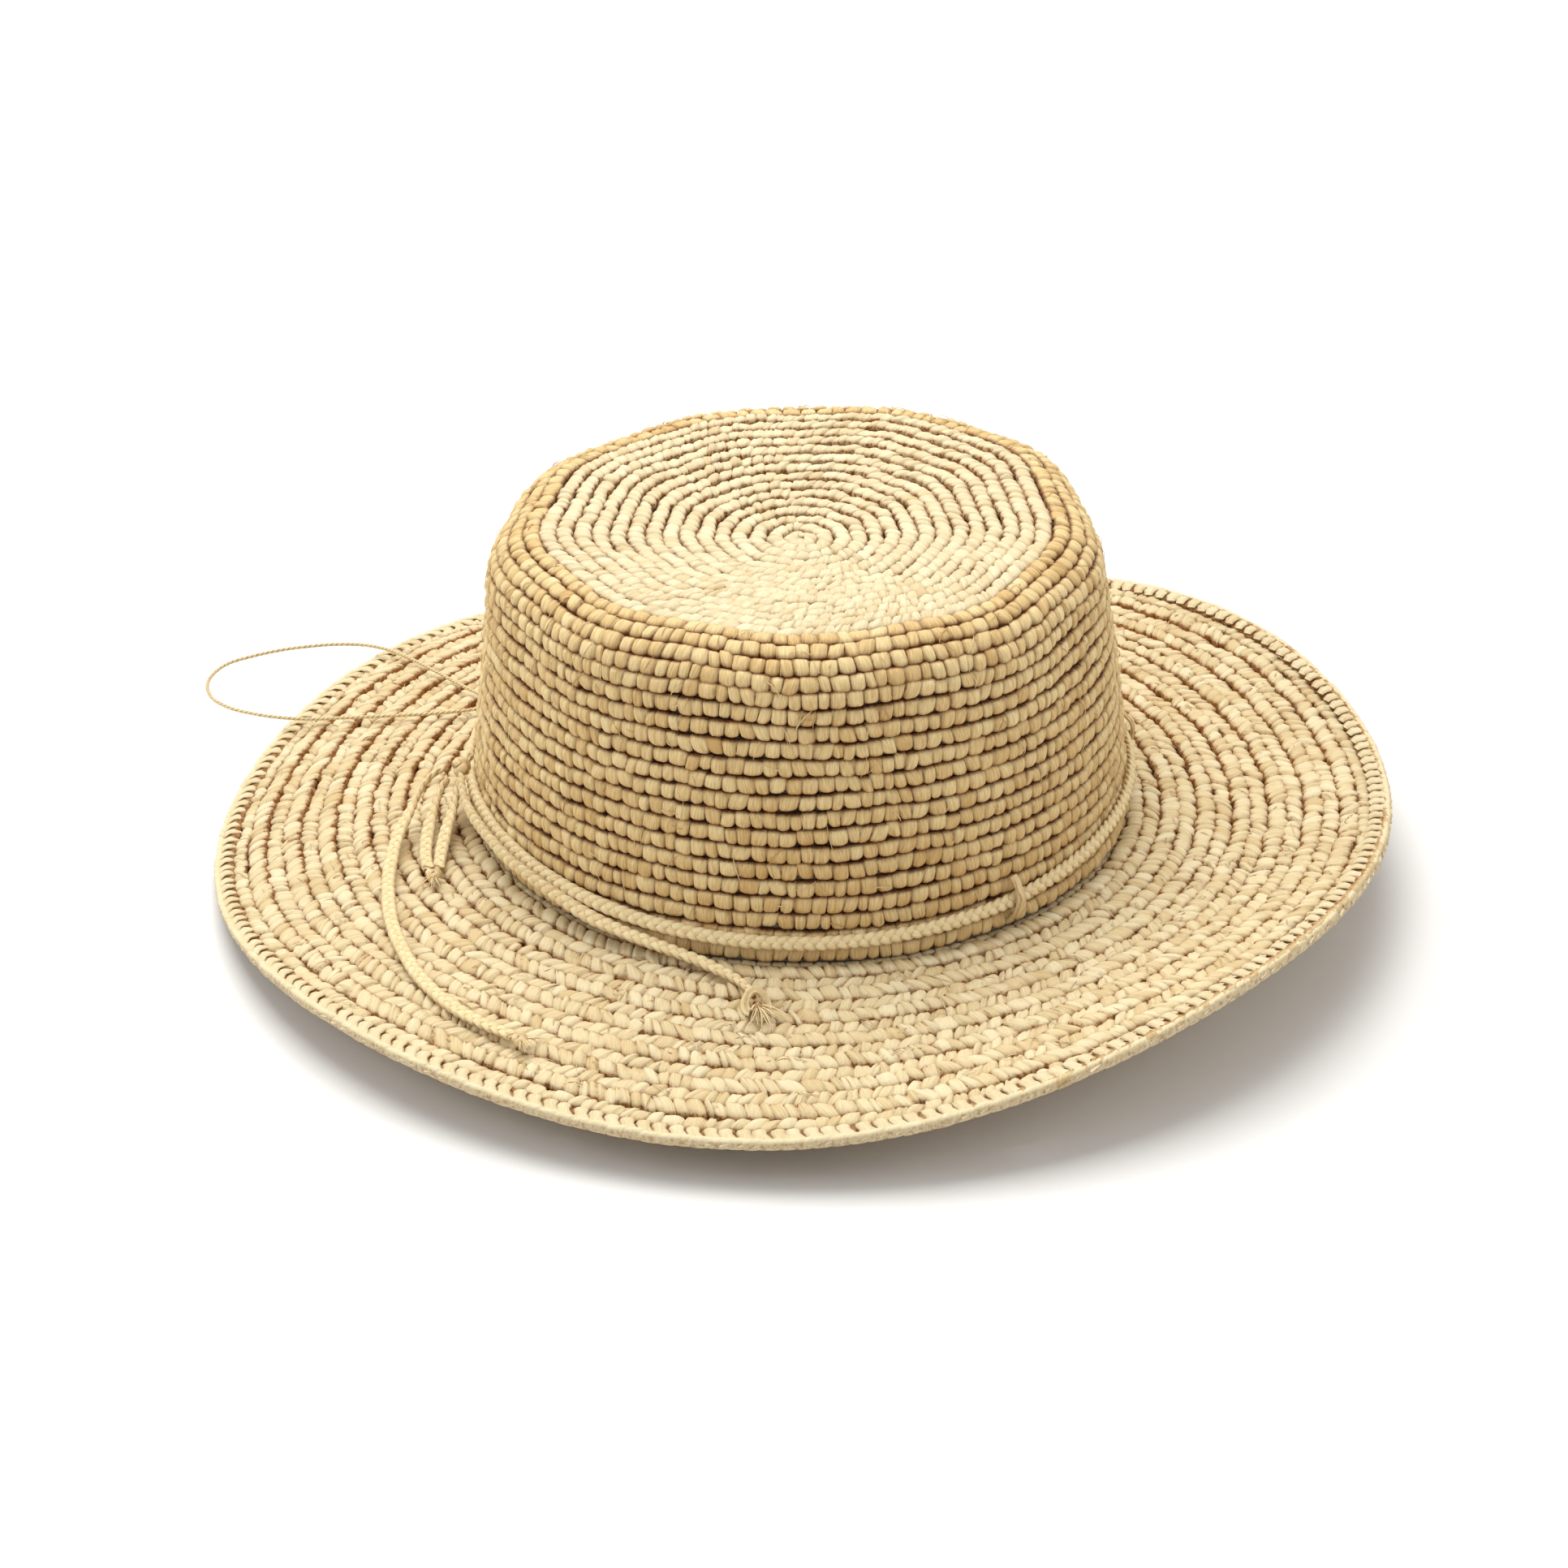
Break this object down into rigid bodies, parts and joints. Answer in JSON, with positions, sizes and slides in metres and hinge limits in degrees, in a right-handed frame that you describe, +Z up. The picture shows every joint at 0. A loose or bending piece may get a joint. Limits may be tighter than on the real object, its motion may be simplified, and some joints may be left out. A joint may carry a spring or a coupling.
{
  "type": "straw sun hat",
  "caption": "Crocheted raffia sun hat with a flat round crown, a wide wavy brim, a sweatband and a tied plaited cord.",
  "frame": {"origin": "on the surface that the hat lies on, under the middle of the crown and the brim", "axes": "+Z up through the crown, +X to the side opposite the bow, -Y to the side that the front tail crosses"},
  "size_m": [0.3544, 0.34, 0.111],
  "materials": {
    "raffia_crochet": "matte natural raffia, crocheted",
    "raffia_cord": "matte natural raffia, plaited",
    "cotton_tape": "matte woven cotton",
    "nylon_line": "clear satin nylon"
  },
  "bodies": {
    "hat": {"crown_tip": "raffia_crochet", "crown_side": "raffia_crochet", "brim": "raffia_crochet", "brim_edging": "raffia_crochet", "brim_shaping_line": "nylon_line", "sweatband": "cotton_tape", "band_keeper_1": "raffia_cord", "band_keeper_2": "raffia_cord", "band_keeper_3": "raffia_cord", "band_keeper_4": "raffia_cord"},
    "hat_band": {"band_cord": "raffia_cord", "bow_knot": "raffia_cord", "front_tail": "raffia_cord", "front_tail_knot": "raffia_cord", "long_tail": "raffia_cord", "long_tail_tuft": "raffia_cord", "inner_bow_strand": "raffia_cord", "outer_bow_strand": "raffia_cord", "bow_end_knot": "raffia_cord"},
    "hang_loop": {"hang_loop": "raffia_cord", "hang_loop_knot": "raffia_cord"}
  },
  "joints": [
    {"name": "band_turn", "type": "hinge", "parent": "hat", "child": "hat_band", "pos_m": [0, 0, 0.0312], "axis": [0, 0, 1], "range_deg": [-4, 4]},
    {"name": "hang_loop_swing", "type": "hinge", "parent": "hat", "child": "hang_loop", "pos_m": [-0.0874, 0.0464, 0.0244], "axis": [0.4695, 0.8829, 0], "range_deg": [0, 80]}
  ]
}
